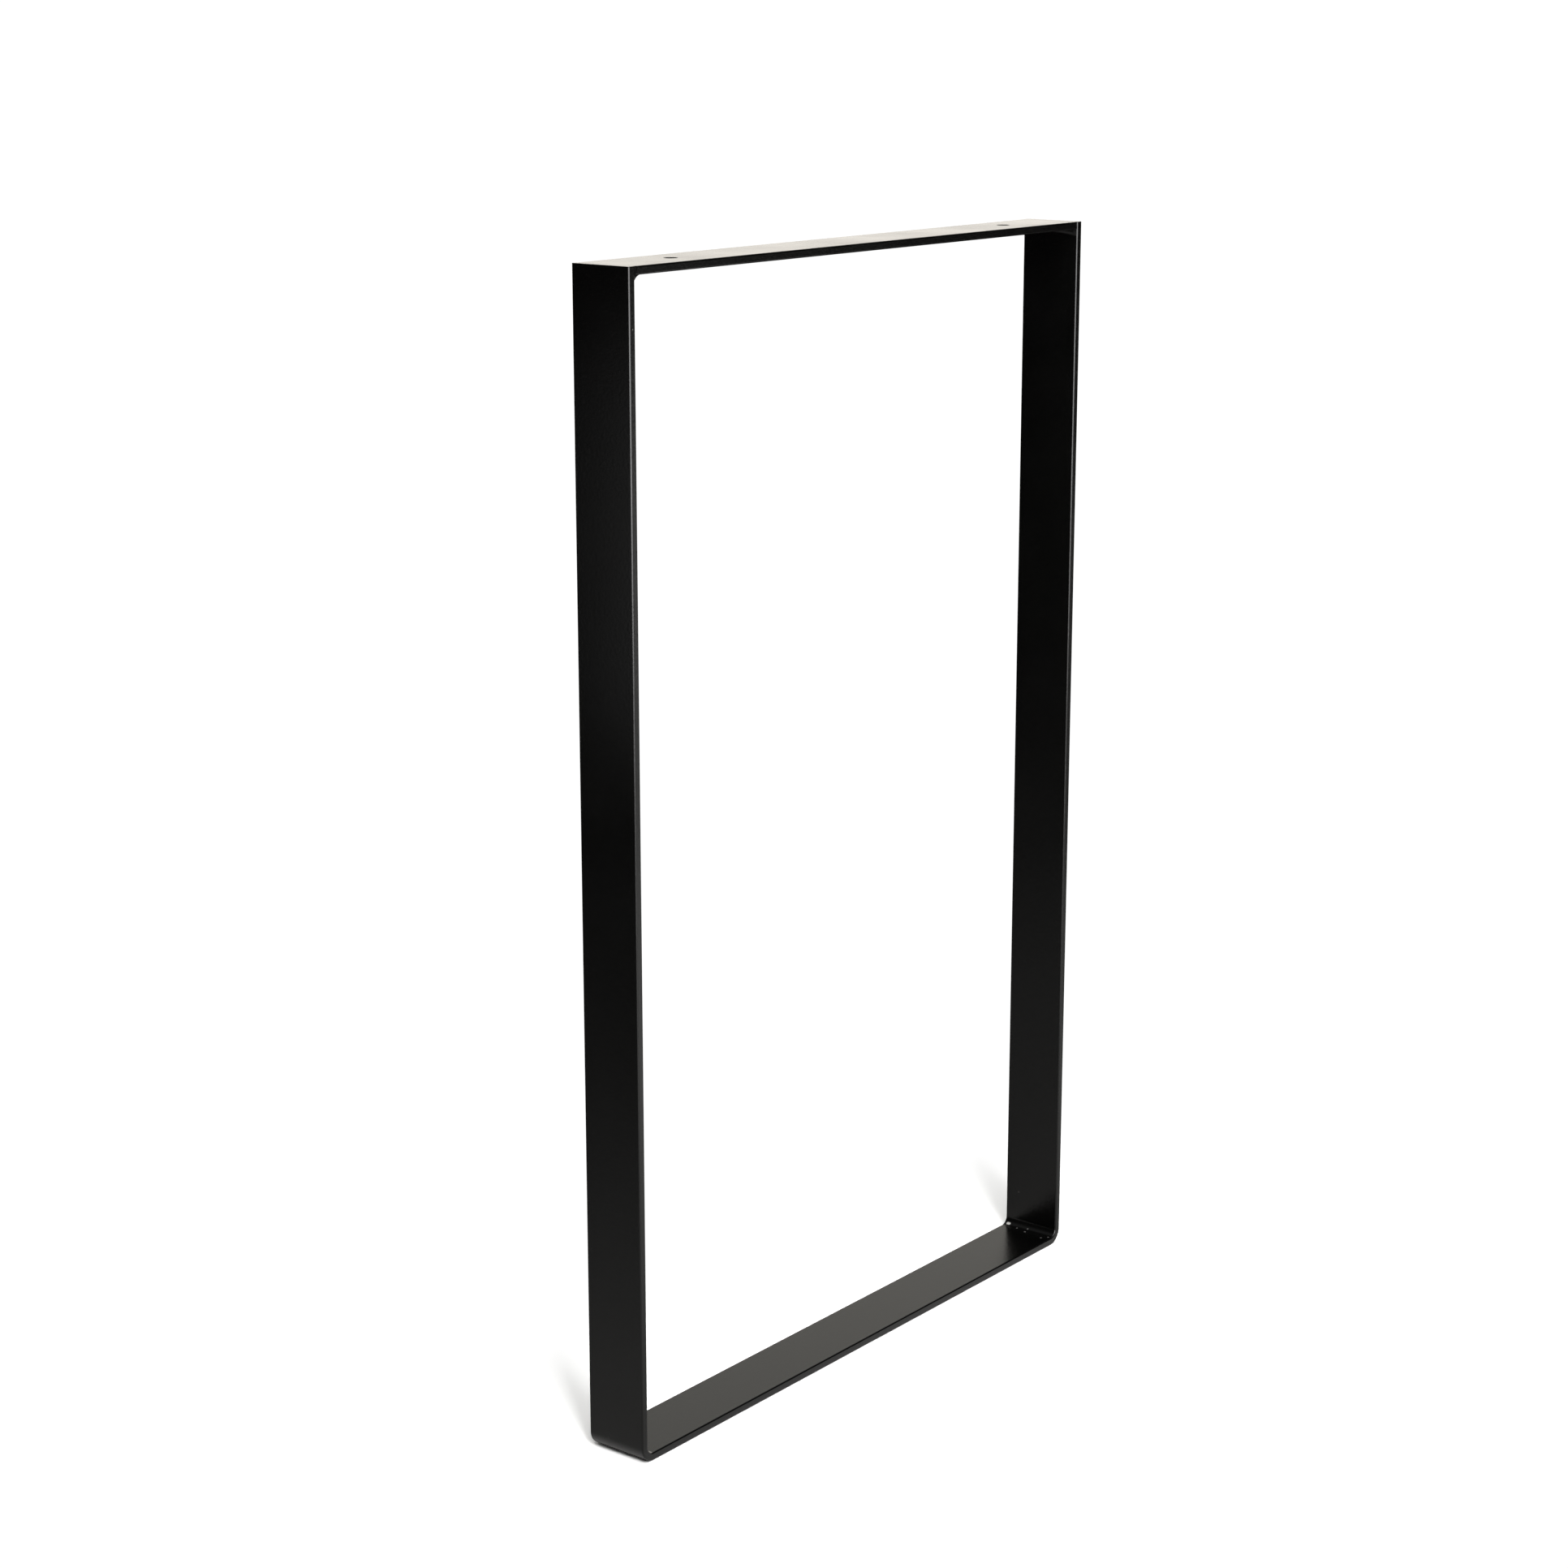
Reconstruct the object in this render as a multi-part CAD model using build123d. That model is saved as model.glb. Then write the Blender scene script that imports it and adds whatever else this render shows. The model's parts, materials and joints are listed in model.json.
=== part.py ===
from build123d import *
import os
from math import atan2, degrees, hypot, radians, tan

# A table leg of flat steel bar: a strip bent into both uprights and the floor rail, and a drilled bar
# welded between the tops of the uprights. X runs along the frame's width, Y across the bar, Z up from
# the floor. The origin is at floor level, in the middle of the rail. Lengths are in millimetres.

# Size of the whole frame
frame_height = 710.0
frame_width = 450.0

# Flat bar that the frame is made of
bar_width = 42.0
bar_thickness = 5.0
bar_corner_radius = 0.8

# Inside radius of the two cold bends at the floor
bend_inner_radius = 5.5

# Screw holes through the top bar, from the outer face of each upright
hole_diameter = 8.0
hole_from_end = 60.0

# Welded corner: gap between upright and bar end, square land at the root, bevel above it
root_gap = 1.0
root_land = 1.0
bevel_angle = 20.0

# Concave fillet under the bar: leg on each face, and the angle at which it runs out on the faces
weld_leg = 4.3
weld_toe_angle = 10.0

# Places that several pieces share
outer_face = frame_width / 2
inner_face = outer_face - bar_thickness
bar_end = inner_face - root_gap
bar_underside = frame_height - bar_thickness
land_top = bar_underside + root_land
bevel_run = (frame_height - land_top) * tan(radians(bevel_angle))
flat_width = bar_width - 2 * bar_corner_radius


def bar_section():
    """Cross-section of the flat bar: thickness along X, width along Y, rolled corners."""
    return RectangleRounded(bar_thickness, bar_width, bar_corner_radius)


def make_bent_frame():
    """Strip that runs down one upright, along the floor and up the other."""
    mid_wall = outer_face - bar_thickness / 2
    mid_floor = bar_thickness / 2
    path = FilletPolyline(
        (-mid_wall, 0, frame_height),
        (-mid_wall, 0, mid_floor),
        (mid_wall, 0, mid_floor),
        (mid_wall, 0, frame_height),
        radius=bend_inner_radius + bar_thickness / 2,
    )
    start = Plane(origin=(-mid_wall, 0, frame_height), x_dir=(1, 0, 0), z_dir=(0, 0, -1))
    return sweep(start * bar_section(), path=path)


def make_top_bar():
    """Bar between the uprights, with a bevelled end at each weld and a screw hole near each end."""
    section = Plane.YZ * RectangleRounded(bar_width, bar_thickness, bar_corner_radius)
    bar = Pos(0, 0, frame_height - bar_thickness / 2) * extrude(section, amount=bar_end, both=True)
    for side in (-1, 1):
        bevel = Polyline(
            (side * bar_end, land_top),
            (side * (bar_end - bevel_run), frame_height),
            (side * bar_end, frame_height),
            close=True,
        )
        bar -= extrude(Plane.XZ * make_face(bevel), amount=bar_width / 2, both=True)
        hole = Cylinder(hole_diameter / 2, bar_thickness)
        bar -= Pos(side * (outer_face - hole_from_end), 0, frame_height - bar_thickness / 2) * hole
    return bar


def make_weld(side):
    """Weld metal at one top corner: groove fill flush with the top, and a fillet under the bar."""
    bar_toe = (side * (bar_end - weld_leg), bar_underside)
    upright_toe = (side * inner_face, bar_underside - weld_leg)
    chord_run = root_gap + weld_leg
    chord_angle = degrees(atan2(weld_leg, chord_run))
    arc_angle = chord_angle - weld_toe_angle
    sagitta = hypot(chord_run, weld_leg) / 2 * tan(radians(arc_angle / 2))
    groove = Polyline(
        upright_toe,
        (side * inner_face, frame_height),
        (side * (bar_end - bevel_run), frame_height),
        (side * bar_end, land_top),
        (side * bar_end, bar_underside),
        bar_toe,
    )
    fillet_face = SagittaArc(bar_toe, upright_toe, side * sagitta)
    section = make_face([groove, fillet_face])
    return extrude(Plane.XZ * section, amount=flat_width / 2, both=True)


pieces = {
    "bent_frame": make_bent_frame(),
    "top_bar": make_top_bar(),
    "left_weld": make_weld(-1),
    "right_weld": make_weld(1),
}

os.makedirs("parts", exist_ok=True)
for name, piece in pieces.items():
    export_step(piece, f"parts/{name}.step")
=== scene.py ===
# A black table leg of flat steel bar, dressed for close views: a bent strip with rolled edges, a drilled bar
# between its tops, two coated welds, and a studio with a white floor. Lengths are in metres.
import json
from math import atan2, cos, hypot, pi, radians, sin, sqrt, tan

import bpy
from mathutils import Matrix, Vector


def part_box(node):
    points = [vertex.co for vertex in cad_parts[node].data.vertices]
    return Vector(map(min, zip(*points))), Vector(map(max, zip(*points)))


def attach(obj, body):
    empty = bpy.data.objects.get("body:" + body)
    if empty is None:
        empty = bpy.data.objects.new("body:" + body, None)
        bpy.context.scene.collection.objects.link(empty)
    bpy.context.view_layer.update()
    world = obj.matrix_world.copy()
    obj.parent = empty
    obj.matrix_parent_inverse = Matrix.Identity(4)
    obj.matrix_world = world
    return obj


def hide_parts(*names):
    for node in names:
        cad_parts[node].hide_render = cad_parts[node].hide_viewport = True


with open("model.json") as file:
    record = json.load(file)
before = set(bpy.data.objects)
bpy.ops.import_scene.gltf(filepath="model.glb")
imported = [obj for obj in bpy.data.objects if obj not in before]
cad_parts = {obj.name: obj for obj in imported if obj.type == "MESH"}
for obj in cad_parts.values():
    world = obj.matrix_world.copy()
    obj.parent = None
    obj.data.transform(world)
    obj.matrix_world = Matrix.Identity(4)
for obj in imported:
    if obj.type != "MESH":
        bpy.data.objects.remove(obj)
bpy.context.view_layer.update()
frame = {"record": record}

# Sizes of the frame
strip_low, strip_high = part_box("bent_frame")
bar_low, bar_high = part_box("top_bar")
weld_low, weld_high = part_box("right_weld")
screw_holes = next(mount for mount in frame["record"]["mounts"] if mount["name"] == "screw_holes")
frame_height = strip_high.z
outer_face = strip_high.x
inner_face = weld_high.x
bar_width = strip_high.y - strip_low.y
bar_thickness = bar_high.z - bar_low.z
bar_end = bar_high.x
root_gap = inner_face - bar_end
weld_leg = bar_low.z - weld_low.z
weld_half_length = weld_high.y
hole_radius = screw_holes["dims"]["hole_r_mm"] / 1000
hole_x = screw_holes["dims"]["spacing_x_mm"] / 2000

# Edges, bends and weld preparation
corner_radius = 0.00095
bend_inner_radius = 0.0055
cut_edge_radius = 0.0003
hole_edge_radius = 0.00025
root_land = 0.001
bevel_angle = radians(20)

# Top bar: height of its middle, half the flat of a wide face, and how far below the middle the land begins
bar_middle = bar_high.z - bar_thickness / 2
flat_half = bar_width / 2 - corner_radius
land_depth = bar_thickness / 2 - root_land

# Weld bead: ripples across it, hollow face, a waist between its ends, and how far it sinks into the bars
weld_toe_angle = radians(10)
ripple_pitch = 0.0017
ripple_height = 0.00005
ripple_sweep = 0.9
bead_waist = 0.45
bead_end_length = 0.0012
bead_end_share = 0.88
weld_sink = 0.00008

# Mesh steps, growth of the rings round a hole, and the closeness at which points and levels count as one
corner_steps = 6
edge_steps = 4
bend_steps = 32
upright_steps = 20
rail_half_steps = 8
hole_segments = 64
hole_rings = 4
hole_ring_growth = 1.5
bead_steps = 20
weld_steps = 260
point_digits = 7
same_level = 1e-9

# Powder coat: clouds in tone and roughness, and a fine orange peel
coat_refraction = 1.36
coat_dark = (0.0007, 0.0007, 0.0006)
coat_light = (0.0012, 0.0012, 0.0011)
roughness_low = 0.235
roughness_high = 0.265
cloud_scale = 22.0
cloud_detail = 4.0
cloud_low = 0.3
cloud_high = 0.7
peel_scale = 520.0
peel_detail = 2.0
peel_strength = 0.5
peel_depth = 0.0001

# Pale specks painted on the coat where its nibs glint, as painted highlights, as (x, y, z, radius, cover): a
# white one and faint ones about the right bend, and two on the left. The core is the share of a speck's
# radius that has full cover.
painted_glint_colour = (0.5, 0.49, 0.47)
glint_core = 0.4
painted_glints = (
    (0.2175, 0.0176, 0.0059, 0.0015, 1.0),
    (0.2175, 0.0166, 0.0059, 0.0015, 1.0),
    (0.2156, 0.0086, 0.0051, 0.0009, 0.18),
    (0.2174, 0.0007, 0.0058, 0.0009, 0.16),
    (0.2135, 0.0004, 0.0051, 0.001, 0.24),
    (0.2112, -0.0147, 0.005, 0.001, 0.2),
    (0.2151, -0.0183, 0.005, 0.0009, 0.18),
    (0.22, 0.0106, 0.0305, 0.0009, 0.06),
    (-0.225, 0.0063, 0.0104, 0.0007, 0.08),
    (-0.2224, -0.021, 0.6757, 0.0005, 0.3),
)

# Camera of the photograph
camera_place = Vector((-1.5413, -1.1654, 0.8543))
camera_azimuth = radians(-51.768)
camera_elevation = radians(13.991)
camera_focal_pixels = 3910.9
picture_pixels = 1932
sensor_width = 36.0

# White sheet that the leg stands on, seen in reflections: it darkens along one direction, a painted falloff
# of light
floor_size = 12
sheet_direction = (-0.656, 0.755, 0)
sheet_start = -0.5
sheet_length = 3.0
sheet_tint = (1.0, 0.99, 0.97)
painted_falloff_tones = ((0.0, 0.75), (0.22, 0.5), (0.37, 0.27), (0.46, 0.15), (0.65, 0.06), (0.9, 0.02))

# Painted shade on the floor, seen only in reflections: dark past a line along another direction, and fading
# out behind the leg
painted_shade_direction = (0.634, 0.773, 0)
painted_shade_start = -0.02
painted_shade_end = 0.46
painted_shade_colour = (0.015, 0.015, 0.015)
painted_shade_fade_start = 0.12
painted_shade_fade_end = 0.35

# Lighter strip of the sheet right beside the leg: painted light
painted_light_reach = 0.02
painted_light_tone = 1.55

# Floor in the picture: overexposed near the leg, where shadows show, and clean white further off
exposed_white = (1.3, 1.3, 1.29, 1)
clean_strength = 1.05
shadow_squeeze = (0.25, 1, 0)
shadow_start = 0.08
shadow_end = 0.18

# Bright wall behind the leg, as an angle from +X towards +Y: rim and full light as cosines from that angle,
# levels by height, and a warm tint that cools with height
wall_azimuth = radians(42)
wall_rim = 0.7
wall_full = 0.84
wall_strength = 3.0
wall_levels = ((0.0, 0.8), (0.12, 0.76), (0.26, 0.32), (0.4, 0.232), (0.46, 0.34), (0.6, 0.22), (0.8, 0.0))
wall_green = 0.94
wall_green_rise = 0.11
wall_green_top = 0.4
wall_blue_drop = 0.075

# Rest of the room, levels by height, and the white behind everything in the picture
room_levels = ((0.0, 0.01), (0.55, 0.012), (0.8, 0.25), (1.0, 0.4))
backdrop_white = (1.05, 1.05, 1.05, 1)

# Sockets of a colour mix
mix_first = 6
mix_second = 7
mix_result = 2

BODY = "root"
UP = (0, 0, 1)


class Skin:
    """A mesh in the making: shared points, faces, and the true surface normal at each corner of a face."""

    def __init__(self):
        self.points = []
        self.found = {}
        self.faces = []
        self.normals = []

    def point(self, place):
        """Index of the point at a place, the same one for places that fall together."""
        key = tuple(round(value, point_digits) for value in place)
        if key not in self.found:
            self.found[key] = len(self.points)
            self.points.append(tuple(place))
        return self.found[key]

    def face(self, corners):
        """Face from (place, normal) corners, counter-clockwise from outside; those that meet become one."""
        kept = {}
        for place, normal in corners:
            kept.setdefault(self.point(place), normal)
        if len(kept) > 2:
            self.faces.append(list(kept))
            self.normals.extend(kept.values())

    def flat(self, places, normal):
        """One flat face."""
        self.face([(place, normal) for place in places])

    def band(self, first, second, closed=True):
        """Four-sided faces between two rings of as many (place, normal) corners."""
        count = len(first)
        for step in range(count if closed else count - 1):
            after = (step + 1) % count
            self.face((first[step], first[after], second[after], second[step]))

    def tube(self, rings, closed=True):
        """Bands between the rings of a list."""
        for first, second in zip(rings, rings[1:]):
            self.band(first, second, closed)

    def piece(self, name, material, node):
        """Makes the finished object, which stands for one node of the frame."""
        mesh = bpy.data.meshes.new(name)
        mesh.from_pydata(self.points, [], self.faces)
        mesh.polygons.foreach_set("use_smooth", [True] * len(mesh.polygons))
        mesh.normals_split_custom_set(self.normals)
        mesh.materials.append(material)
        made = bpy.data.objects.new(name, mesh)
        bpy.context.collection.objects.link(made)
        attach(made, BODY)
        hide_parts(node)


def bar_outline(shrink=0.0):
    """Section of the bar with its rolled corners, as (through, across, normal through, normal across)."""
    radius = corner_radius - shrink
    sides = ((1, 1), (-1, 1), (-1, -1), (1, -1))
    outline = []
    for quarter, (side_through, side_across) in enumerate(sides):
        for step in range(corner_steps + 1):
            angle = (quarter + step / corner_steps) * pi / 2
            through = side_through * (bar_thickness / 2 - corner_radius) + radius * cos(angle)
            across = side_across * flat_half + radius * sin(angle)
            outline.append((through, across, cos(angle), sin(angle)))
    return outline


def section_ring(station, outline):
    """The outline set on a station of the middle line, which is (x, z, outward x, outward z)."""
    x, z, out_x, out_z = station
    ring = []
    for through, across, normal_through, normal_across in outline:
        place = (x + through * out_x, across, z + through * out_z)
        ring.append((place, (normal_through * out_x, normal_across, normal_through * out_z)))
    return ring


def strip_path():
    """Stations of the strip's middle line, from the top of the left upright to the top of the right one."""
    radius = bend_inner_radius + bar_thickness / 2
    wall = outer_face - bar_thickness / 2
    centre_x = wall - radius
    centre_z = bar_thickness / 2 + radius
    top = frame_height - cut_edge_radius
    half = []
    for step in range(upright_steps):
        half.append((-wall, top + (centre_z - top) * step / upright_steps, -1.0, 0.0))
    for step in range(bend_steps):
        angle = pi + pi / 2 * step / bend_steps
        x = -centre_x + radius * cos(angle)
        z = centre_z + radius * sin(angle)
        half.append((x, z, cos(angle), sin(angle)))
    for step in range(rail_half_steps + 1):
        half.append((-centre_x * (1 - step / rail_half_steps), bar_thickness / 2, 0.0, -1.0))
    mirrored = [(-x, z, -out_x, out_z) for x, z, out_x, out_z in reversed(half[:-1])]
    return half + mirrored


def cut_end_rings(station):
    """Rings that round the rim of a cut end at the top of an upright."""
    x, z, out_x, out_z = station
    rings = []
    for step in range(1, edge_steps + 1):
        turn = pi / 2 * step / edge_steps
        painted_floor = (x, z + cut_edge_radius * sin(turn), out_x, out_z)
        ring = []
        for place, normal in section_ring(painted_floor, bar_outline(cut_edge_radius * (1 - cos(turn)))):
            ring.append((place, (Vector(normal) * cos(turn) + Vector(UP) * sin(turn))[:]))
        rings.append(ring)
    return rings


def make_bent_strip(material):
    """The strip that makes both uprights and the floor rail."""
    path = strip_path()
    left_end = cut_end_rings(path[0])
    right_end = cut_end_rings(path[-1])
    body = [section_ring(station, bar_outline()) for station in path]
    skin = Skin()
    skin.tube(left_end[::-1] + body + right_end)
    skin.flat([place for place, normal in reversed(left_end[-1])], UP)
    skin.flat([place for place, normal in right_end[-1]], UP)
    skin.piece("bent_strip", material, "bent_frame")


def bar_outline_with_land():
    """The bar's section with a point on each narrow side where the square land meets the bevel."""
    outline = bar_outline()
    quarter = corner_steps + 1
    back = (land_depth, bar_width / 2, 0.0, 1.0)
    front = (land_depth, -bar_width / 2, 0.0, -1.0)
    return outline[:quarter] + [back] + outline[quarter:3 * quarter] + [front] + outline[3 * quarter:]


def bar_reach(through):
    """Half length of the top bar at a depth through it: square at the land, slanted above."""
    return bar_end - max(0.0, land_depth - through) * tan(bevel_angle)


def hole_directions():
    """Angles round a screw hole, from one corner of the square patch about it."""
    return [-pi / 4 + 2 * pi * step / hole_segments for step in range(hole_segments)]


def on_square(angle):
    """Point of a square patch's outline at an angle from its middle."""
    reach = flat_half / max(abs(cos(angle)), abs(sin(angle)))
    return reach * cos(angle), reach * sin(angle)


def plate_columns():
    """Places across a wide face, matching the points on the sides of the square patches."""
    steps = hole_segments // 4
    return [flat_half * tan(pi / 4 * (2 * step / steps - 1)) for step in range(steps + 1)]


def bar_stations():
    """Places along the top bar between its ends: plain runs, and the columns of the square patches."""
    patch = plate_columns()
    inner = hole_x - flat_half
    plain = [inner * step / rail_half_steps for step in range(1 - rail_half_steps, rail_half_steps)]
    left = [-hole_x + column for column in patch]
    right = [hole_x + column for column in patch]
    return left + plain + right


def add_plain_runs(skin, side, z):
    """A wide face of the top bar, at its underside or its top, outside the square patches."""
    columns = plate_columns()
    reach = bar_reach(side * bar_thickness / 2)
    stations = [-reach] + bar_stations() + [reach]
    for x_first, x_second in zip(stations, stations[1:]):
        middle = abs(x_first + x_second) / 2
        if abs(middle - hole_x) < flat_half:
            continue
        for y_first, y_second in zip(columns, columns[1:]):
            corners = [
                (x_first, y_first, z),
                (x_second, y_first, z),
                (x_second, y_second, z),
                (x_first, y_second, z),
            ]
            skin.flat(corners[::-side], (0, 0, -side))


def add_hole_patch(skin, side, z, centre):
    """The square patch of a wide face round one screw hole, in rings that grow from circle to square."""
    near = hole_radius + hole_edge_radius
    rings = []
    for step in range(hole_rings + 1):
        share = (step / hole_rings) ** hole_ring_growth
        ring = []
        for angle in hole_directions():
            far_x, far_y = on_square(angle)
            x = centre + near * cos(angle) * (1 - share) + far_x * share
            y = near * sin(angle) * (1 - share) + far_y * share
            ring.append(((x, y, z), (0, 0, -side)))
        rings.append(ring)
    skin.tube(rings[::side])


def add_hole_wall(skin, centre):
    """The wall of one screw hole, with its rims rounded by the coating."""
    levels = []
    for step in range(edge_steps + 1):
        turn = pi / 2 * (1 - step / edge_steps)
        levels.append((bar_high.z - hole_edge_radius * (1 - sin(turn)), turn))
    for step in range(edge_steps + 1):
        turn = -pi / 2 * step / edge_steps
        levels.append((bar_low.z + hole_edge_radius * (1 + sin(turn)), turn))
    rings = []
    for z, turn in levels:
        radius = hole_radius + hole_edge_radius * (1 - cos(turn))
        ring = []
        for angle in hole_directions():
            place = (centre + radius * cos(angle), radius * sin(angle), z)
            ring.append((place, (-cos(turn) * cos(angle), -cos(turn) * sin(angle), sin(turn))))
        rings.append(ring)
    skin.tube(rings)


def bar_end_ring(side, outline):
    """The outline of the top bar at one of its bevelled ends."""
    ring = []
    for point, (place, normal) in zip(outline, section_ring((0.0, bar_middle, 0.0, -1.0), outline)):
        ring.append(((side * bar_reach(point[0]), place[1], place[2]), normal))
    return ring


def end_outline(outline):
    """The bar's outline as (through, across), with the columns of the wide faces along its long sides."""
    columns = plate_columns()[1:-1]
    points = []
    for first, second in zip(outline, outline[1:] + outline[:1]):
        points.append(first[:2])
        if abs(second[1] - first[1]) > flat_half:
            turned = 1 if second[1] > first[1] else -1
            points += [(first[0], column) for column in columns[::turned]]
    return points


def add_bar_ends(skin, outline):
    """The square land and the slanted bevel at both ends of the top bar."""
    points = end_outline(outline)
    land = [point for point in points if point[0] >= land_depth - same_level]
    bevel = [point for point in points if point[0] <= land_depth + same_level]
    for side in (-1, 1):
        for kept, slant in ((land, 0.0), (bevel, bevel_angle)):
            places = [(side * bar_reach(through), across, bar_middle - through) for through, across in kept]
            skin.flat(places[::side], (side * cos(slant), 0, sin(slant)))


def make_top_bar(material):
    """The drilled bar between the tops of the uprights."""
    outline = bar_outline_with_land()
    runs = [section_ring((x, bar_middle, 0.0, -1.0), outline) for x in bar_stations()]
    rings = [bar_end_ring(-1, outline)] + runs + [bar_end_ring(1, outline)]
    narrow = len(outline) // 2
    skin = Skin()
    skin.tube([ring[:narrow] for ring in rings], closed=False)
    skin.tube([ring[narrow:] for ring in rings], closed=False)
    for side in (-1, 1):
        z = bar_middle - side * bar_thickness / 2
        add_plain_runs(skin, side, z)
        for centre in (-hole_x, hole_x):
            add_hole_patch(skin, side, z, centre)
    for centre in (-hole_x, hole_x):
        add_hole_wall(skin, centre)
    add_bar_ends(skin, outline)
    skin.piece("drilled_bar", material, "top_bar")


def bead_curve():
    """Hollow face of the fillet from bar to upright: (inward, down, normal inward, normal down, share)."""
    run = root_gap + weld_leg
    chord = hypot(run, weld_leg)
    half_turn = atan2(weld_leg, run) - weld_toe_angle
    radius = chord / 2 / sin(half_turn)
    out = atan2(weld_leg, -run) - pi / 2
    centre_in = run / 2 + radius * cos(half_turn) * cos(out)
    centre_down = bar_thickness + weld_leg / 2 + radius * cos(half_turn) * sin(out)
    curve = []
    for step in range(bead_steps + 1):
        share = step / bead_steps
        angle = out + pi + half_turn * (1 - 2 * share)
        normal_in = -cos(angle)
        normal_down = -sin(angle)
        inward = centre_in - radius * normal_in
        down = centre_down - radius * normal_down
        curve.append((inward, down, normal_in, normal_down, share))
    return curve


def ripple(across, share):
    """Height of the scales that the weld pool leaves under the coat, from 0 to 1."""
    phase = across / ripple_pitch + ripple_sweep * (2 * share - 1) ** 2
    return abs(sin(pi * phase)) * sin(pi * share)


def bead_size(across):
    """Share of the bead's full size at a place along it: a waist in the middle, and rounded ends."""
    into_end = max(0.0, (abs(across) - weld_half_length + bead_end_length) / bead_end_length)
    rounded = bead_end_share + (1 - bead_end_share) * sqrt(1 - into_end ** 2)
    return rounded * (1 - bead_waist * (1 - (across / weld_half_length) ** 2))


def bead_rows(side):
    """Points on the rippled face of one fillet, in rows from the bar to the upright, from front to back."""
    curve = bead_curve()
    rows = []
    for step in range(weld_steps + 1):
        across = weld_half_length * (2 * step / weld_steps - 1)
        size = bead_size(across)
        row = []
        for inward, down, normal_in, normal_down, share in curve:
            lift = ripple_height * ripple(across, share)
            face_in = (inward + lift * normal_in) * size
            face_down = bar_thickness + (down + lift * normal_down - bar_thickness) * size
            row.append(Vector((side * (inner_face - face_in), across, frame_height - face_down)))
        rows.append(row)
    return rows


def bead_face(side):
    """The rows of one fillet as (place, normal) corners, each normal taken from the points round it."""
    rows = bead_rows(side)
    face = []
    for step, row in enumerate(rows):
        before = rows[max(step - 1, 0)]
        after = rows[min(step + 1, weld_steps)]
        corners = []
        for at, place in enumerate(row):
            along = after[at] - before[at]
            down_face = row[min(at + 1, bead_steps)] - row[max(at - 1, 0)]
            corners.append((place[:], (side * along.cross(down_face)).normalized()[:]))
        face.append(corners)
    return face


def make_weld(side, name, node, material):
    """Weld metal at one top corner: a groove fill flush with the top, and a rippled fillet under the bar."""
    bevel_run = (bar_thickness - root_land) * tan(bevel_angle)
    groove = (
        (-weld_sink, bar_thickness, -1, 0),
        (-weld_sink, 0.0, 0, -1),
        (root_gap + bevel_run + weld_sink, 0.0, 0, -1),
        (root_gap + weld_sink, bar_thickness - root_land, 1, 0),
        (root_gap + weld_sink, bar_thickness - weld_sink, 1, 0),
    )
    rings = []
    for row in bead_face(side):
        across = row[0][0][1]
        ring = list(row)
        for inward, down, normal_in, normal_down in groove:
            place = (side * (inner_face - inward), across, frame_height - down)
            ring.append((place, (-side * normal_in, 0, -normal_down)))
        rings.append(ring)
    skin = Skin()
    skin.tube([ring[::-side] for ring in rings])
    skin.flat([place for place, normal in rings[0][::side]], (0, -1, 0))
    skin.flat([place for place, normal in rings[-1][::-side]], (0, 1, 0))
    skin.piece(name, material, node)


def add_node(tree, kind, **settings):
    """A shader node with its settings; a setting named like an input sets that input's own value."""
    node = tree.nodes.new(kind)
    for name, value in settings.items():
        if name in node.inputs:
            node.inputs[name].default_value = value
        else:
            setattr(node, name, value)
    return node


def vector_step(tree, operation, vector, other=None):
    """A step of vector arithmetic on an output, with a fixed second vector where the step takes one."""
    node = add_node(tree, "ShaderNodeVectorMath", operation=operation)
    tree.links.new(vector, node.inputs[0])
    if other is not None:
        node.inputs[1].default_value = other
    return node


def number_step(tree, operation, first, second):
    """Output of a step of arithmetic on two outputs."""
    node = add_node(tree, "ShaderNodeMath", operation=operation)
    tree.links.new(first, node.inputs[0])
    tree.links.new(second, node.inputs[1])
    return node.outputs[0]


def coordinate(tree, vector, axis):
    """Output that holds one coordinate of a vector."""
    split = add_node(tree, "ShaderNodeSeparateXYZ")
    tree.links.new(vector, split.inputs[0])
    return split.outputs[axis]


def remap(tree, value, start, end, low=0.0, high=1.0, smooth=True):
    """Output that goes from low to high while a value goes from start to end, and stays there beyond."""
    node = add_node(tree, "ShaderNodeMapRange", interpolation_type="SMOOTHSTEP" if smooth else "LINEAR")
    for name, number in (("From Min", start), ("From Max", end), ("To Min", low), ("To Max", high)):
        node.inputs[name].default_value = number
    tree.links.new(value, node.inputs["Value"])
    return node.outputs["Result"]


def colour_ramp(tree, value, stops):
    """Output of a colour ramp with (position, colour) stops."""
    node = add_node(tree, "ShaderNodeValToRGB")
    elements = node.color_ramp.elements
    while len(elements) < len(stops):
        elements.new(1.0)
    for element, (position, colour) in zip(elements, stops):
        element.position = position
        element.color = (*colour, 1)
    tree.links.new(value, node.inputs["Fac"])
    return node.outputs["Color"]


def mix_colours(tree, share, first, second):
    """Output between a first colour, which is an output, and a fixed second one."""
    node = add_node(tree, "ShaderNodeMix", data_type="RGBA")
    tree.links.new(share, node.inputs["Factor"])
    tree.links.new(first, node.inputs[mix_first])
    node.inputs[mix_second].default_value = (*second, 1)
    return node.outputs[mix_result]


def mix_shaders(tree, share, first, second):
    """Output between two shaders."""
    node = add_node(tree, "ShaderNodeMixShader")
    tree.links.new(share, node.inputs["Fac"])
    tree.links.new(first, node.inputs[1])
    tree.links.new(second, node.inputs[2])
    return node.outputs[0]


def add_noise(tree, place, scale, detail):
    """Output of a noise over the surface."""
    noise = add_node(tree, "ShaderNodeTexNoise", Scale=scale, Detail=detail)
    tree.links.new(place, noise.inputs["Vector"])
    return noise.outputs["Fac"]


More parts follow.
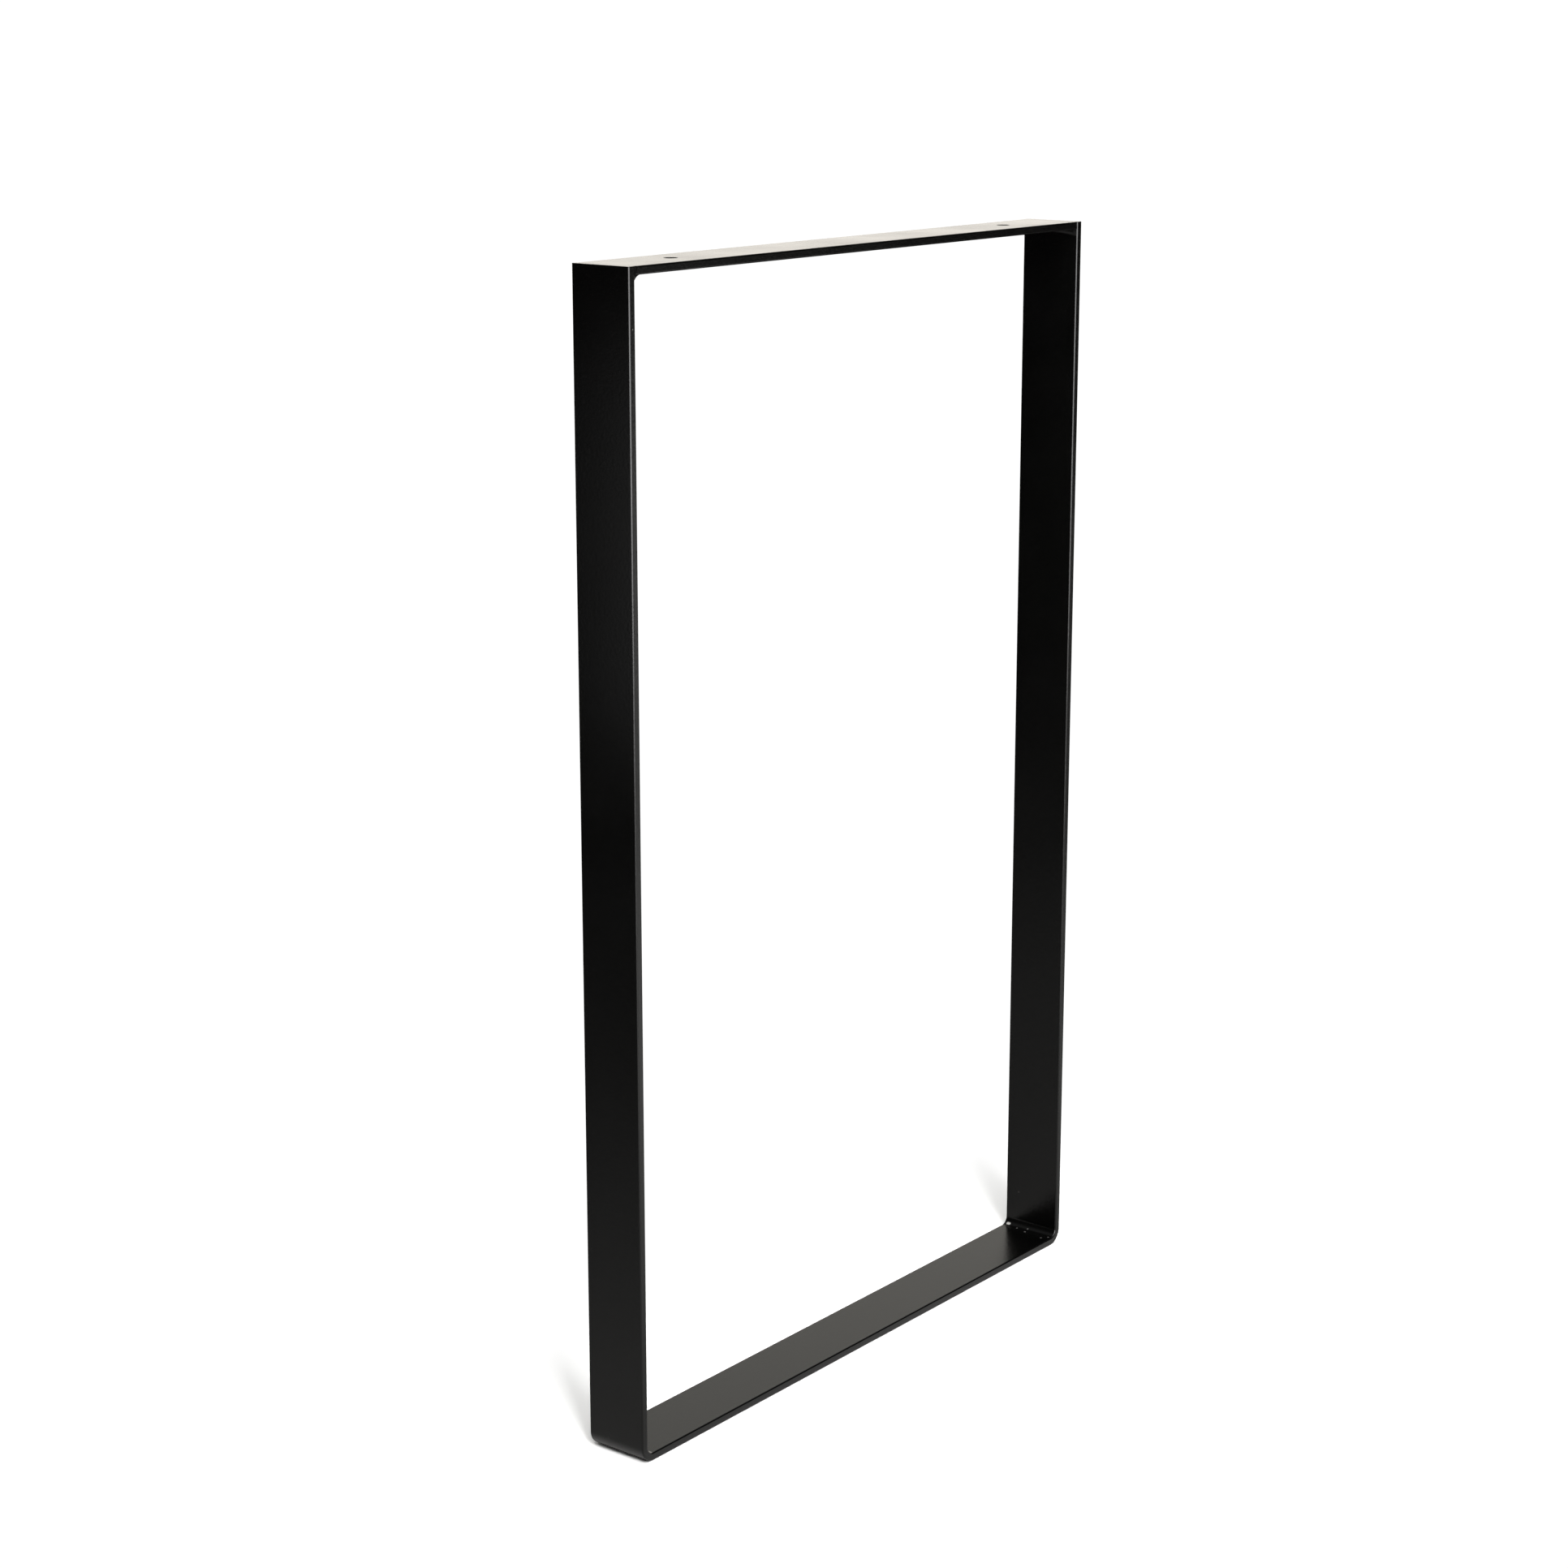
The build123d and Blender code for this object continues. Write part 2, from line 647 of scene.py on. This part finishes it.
def painted_glint_cover(tree, place):
    """Output that holds the cover of the painted glints and falls to 0 at their rims."""
    covered = None
    for x, y, z, radius, share in painted_glints:
        gap = vector_step(tree, "DISTANCE", place, (x, y, z))
        cover = remap(tree, gap.outputs["Value"], radius, radius * glint_core, 0.0, share)
        covered = cover if covered is None else number_step(tree, "MAXIMUM", covered, cover)
    return covered


def make_powder_coat():
    """Satin black powder coat with a few painted glints: faint clouds in tone and gloss, and a fine orange
    peel.
    """
    material = bpy.data.materials.new("black_powder_coat")
    material.use_nodes = True
    tree = material.node_tree
    shader = tree.nodes["Principled BSDF"]
    shader.inputs["IOR"].default_value = coat_refraction
    place = add_node(tree, "ShaderNodeTexCoord").outputs["Object"]
    clouds = add_noise(tree, place, cloud_scale, cloud_detail)
    tone = colour_ramp(tree, clouds, ((cloud_low, coat_dark), (cloud_high, coat_light)))
    # Painted highlights: pale specks where the coat's nibs glint
    glint_painted = mix_colours(tree, painted_glint_cover(tree, place), tone, painted_glint_colour)
    tree.links.new(glint_painted, shader.inputs["Base Color"])
    gloss = remap(tree, clouds, cloud_low, cloud_high, roughness_low, roughness_high, smooth=False)
    tree.links.new(gloss, shader.inputs["Roughness"])
    bump = add_node(tree, "ShaderNodeBump", Strength=peel_strength, Distance=peel_depth)
    tree.links.new(add_noise(tree, place, peel_scale, peel_detail), bump.inputs["Height"])
    tree.links.new(bump.outputs["Normal"], shader.inputs["Normal"])
    return material


def painted_light_beside_leg(tree, place):
    """Output that lifts the sheet's tone right beside the leg: painted light."""
    folded = vector_step(tree, "ABSOLUTE", place)
    outside = vector_step(tree, "SUBTRACT", folded.outputs["Vector"], (outer_face, bar_width / 2, 0))
    gap = vector_step(tree, "MAXIMUM", outside.outputs["Vector"])
    far = vector_step(tree, "LENGTH", gap.outputs["Vector"])
    return remap(tree, far.outputs["Value"], 0.0, painted_light_reach, painted_light_tone, 1.0)


def painted_shade_patch(tree, place):
    """Output that is 1 where the painted shade darkens the floor, and 0 on the sheet and behind the leg."""
    past_edge = vector_step(tree, "DOT_PRODUCT", place, painted_shade_direction)
    ended = remap(tree, past_edge.outputs["Value"], painted_shade_start, painted_shade_end)
    in_front = remap(tree, coordinate(tree, place, "Y"), painted_shade_fade_end, painted_shade_fade_start)
    return number_step(tree, "MULTIPLY", ended, in_front)


def reflected_floor(tree, place):
    """The floor in light and reflections: the sheet as it darkens in a painted falloff of light, painted
    shade past a line, and painted light beside the leg.
    """
    along = vector_step(tree, "DOT_PRODUCT", place, sheet_direction)
    share = remap(tree, along.outputs["Value"], sheet_start, sheet_start + sheet_length, smooth=False)
    # Painted falloff of light: the sheet's tone darkens away from the lit side
    tones = [(at, [level * part for part in sheet_tint]) for at, level in painted_falloff_tones]
    sheet = colour_ramp(tree, share, tones)
    # Painted shade mixed in past the line; the scale below is painted light beside the leg
    painted_floor = vector_step(tree, "SCALE", mix_colours(tree, painted_shade_patch(tree, place), sheet, painted_shade_colour))
    # Painted light: the floor's tone lifted right beside the leg
    tree.links.new(painted_light_beside_leg(tree, place), painted_floor.inputs["Scale"])
    paper = add_node(tree, "ShaderNodeBsdfDiffuse")
    tree.links.new(painted_floor.outputs["Vector"], paper.inputs["Color"])
    return paper.outputs[0]


def seen_floor(tree, place):
    """The floor in the picture: overexposed, so that only deep shadows show, and clean white further off."""
    squeezed = vector_step(tree, "MULTIPLY", place, shadow_squeeze)
    reach = vector_step(tree, "LENGTH", squeezed.outputs["Vector"])
    fade = remap(tree, reach.outputs["Value"], shadow_start, shadow_end)
    exposed = add_node(tree, "ShaderNodeBsdfDiffuse", Color=exposed_white)
    clean = add_node(tree, "ShaderNodeEmission", Strength=clean_strength)
    return mix_shaders(tree, fade, exposed.outputs[0], clean.outputs[0])


def make_floor_material():
    """White studio floor."""
    material = bpy.data.materials.new("white_floor")
    material.use_nodes = True
    tree = material.node_tree
    tree.nodes.clear()
    place = add_node(tree, "ShaderNodeTexCoord").outputs["Object"]
    in_picture = add_node(tree, "ShaderNodeLightPath").outputs["Is Camera Ray"]
    shown = mix_shaders(tree, in_picture, reflected_floor(tree, place), seen_floor(tree, place))
    output = add_node(tree, "ShaderNodeOutputMaterial")
    tree.links.new(shown, output.inputs["Surface"])
    return material


def far_wall(tree, direction):
    """The bright wall, over a sector of directions and toned by height."""
    stops = []
    for at, level in wall_levels:
        green = wall_green + wall_green_rise * min(at, wall_green_top)
        stops.append((at, (level, level * green, level * (green - wall_blue_drop))))
    facing = vector_step(tree, "DOT_PRODUCT", direction, (cos(wall_azimuth), sin(wall_azimuth), 0))
    sector = remap(tree, facing.outputs["Value"], wall_rim, wall_full, 0.0, wall_strength)
    wall = add_node(tree, "ShaderNodeBackground")
    tree.links.new(colour_ramp(tree, coordinate(tree, direction, "Z"), stops), wall.inputs["Color"])
    tree.links.new(sector, wall.inputs["Strength"])
    return wall.outputs[0]


def dim_room(tree, direction):
    """The rest of the room, which brightens towards the ceiling."""
    stops = [(at, (level, level, level)) for at, level in room_levels]
    room = add_node(tree, "ShaderNodeBackground")
    tree.links.new(colour_ramp(tree, coordinate(tree, direction, "Z"), stops), room.inputs["Color"])
    return room.outputs[0]


def make_world():
    """White behind everything in the picture; for light and reflections, a dim room with a bright wall."""
    world = bpy.data.worlds.new("studio")
    world.use_nodes = True
    bpy.context.scene.world = world
    tree = world.node_tree
    tree.nodes.clear()
    direction = add_node(tree, "ShaderNodeTexCoord").outputs["Generated"]
    both = add_node(tree, "ShaderNodeAddShader")
    tree.links.new(far_wall(tree, direction), both.inputs[0])
    tree.links.new(dim_room(tree, direction), both.inputs[1])
    white = add_node(tree, "ShaderNodeBackground", Color=backdrop_white)
    in_picture = add_node(tree, "ShaderNodeLightPath").outputs["Is Camera Ray"]
    shown = mix_shaders(tree, in_picture, both.outputs[0], white.outputs[0])
    output = add_node(tree, "ShaderNodeOutputWorld")
    tree.links.new(shown, output.inputs["Surface"])


def make_floor():
    """Square of floor about the leg."""
    half = floor_size / 2
    corners = [(-half, -half, 0), (half, -half, 0), (half, half, 0), (-half, half, 0)]
    mesh = bpy.data.meshes.new("floor")
    mesh.from_pydata(corners, [], [(0, 1, 2, 3)])
    mesh.materials.append(make_floor_material())
    made = bpy.data.objects.new("floor", mesh)
    bpy.context.collection.objects.link(made)


def add_softbox(name, place, target, width, height, watts, spread=pi, mirrored=True, lighting=True):
    """Soft rectangular light that faces a target; gloss shows it if mirrored, matt surfaces if lighting."""
    light = bpy.data.lights.new(name, "AREA")
    light.shape = "RECTANGLE"
    light.size = width
    light.size_y = height
    light.energy = watts
    light.spread = spread
    made = bpy.data.objects.new(name, light)
    made.location = place
    made.rotation_euler = (Vector(target) - Vector(place)).to_track_quat("-Z", "Y").to_euler()
    made.visible_camera = False
    made.visible_glossy = mirrored
    made.visible_diffuse = lighting
    bpy.context.collection.objects.link(made)


def add_card(name, place, target, width, height, watts):
    """A soft light that shows in the gloss and lights nothing else."""
    add_softbox(name, place, target, width, height, watts, lighting=False)


def add_pool(name, place, side, watts, spread):
    """A square light that shines straight down on a patch of the floor, and that no gloss mirrors."""
    below = (place[0], place[1], 0)
    add_softbox(name, place, below, side, side, watts, spread, mirrored=False)


def make_lights():
    """Soft light from above, cards that only the gloss shows, and pools of light on the floor."""
    add_softbox("overhead", (-1.09, -1.04, 2.9), (-0.2, 0, 0.1), width=2.0, height=2.0, watts=54)
    add_softbox("key", (-1.66, -2.17, 2.4), (-0.05, 0, 0.05), width=0.65, height=1.4, watts=80)
    add_card("camera_side", (-1.25, -1.42, 0.49), (-0.1, 0, 0.49), width=3.4, height=0.76, watts=96)
    add_card("left_card", (-0.68, 0.24, 0.465), (-0.225, 0, 0.5), width=0.2, height=0.27, watts=0.13)
    add_pool("front_pool", (-1.05, -0.85, 1.0), side=1.2, watts=8.5, spread=radians(60))
    add_pool("pool", (0.55, -0.7, 1.2), side=0.8, watts=3.5, spread=radians(80))
    add_pool("far_pool", (2.4, -2.25, 1.5), side=1.4, watts=28, spread=radians(95))


def make_camera():
    """Camera at the photograph's viewing angle."""
    lens = bpy.data.cameras.new("camera")
    lens.sensor_width = sensor_width
    lens.lens = camera_focal_pixels * sensor_width / picture_pixels
    made = bpy.data.objects.new("camera", lens)
    level = cos(camera_elevation)
    back = Vector((sin(camera_azimuth) * level, -cos(camera_azimuth) * level, sin(camera_elevation)))
    made.location = camera_place
    made.rotation_euler = (-back).to_track_quat("-Z", "Y").to_euler()
    bpy.context.collection.objects.link(made)
    bpy.context.scene.camera = made


coat = make_powder_coat()
make_bent_strip(coat)
make_top_bar(coat)
make_weld(-1, "left_bead", "left_weld", coat)
make_weld(1, "right_bead", "right_weld", coat)
make_world()
make_floor()
make_lights()
make_camera()
bpy.context.scene.view_settings.view_transform = "Standard"
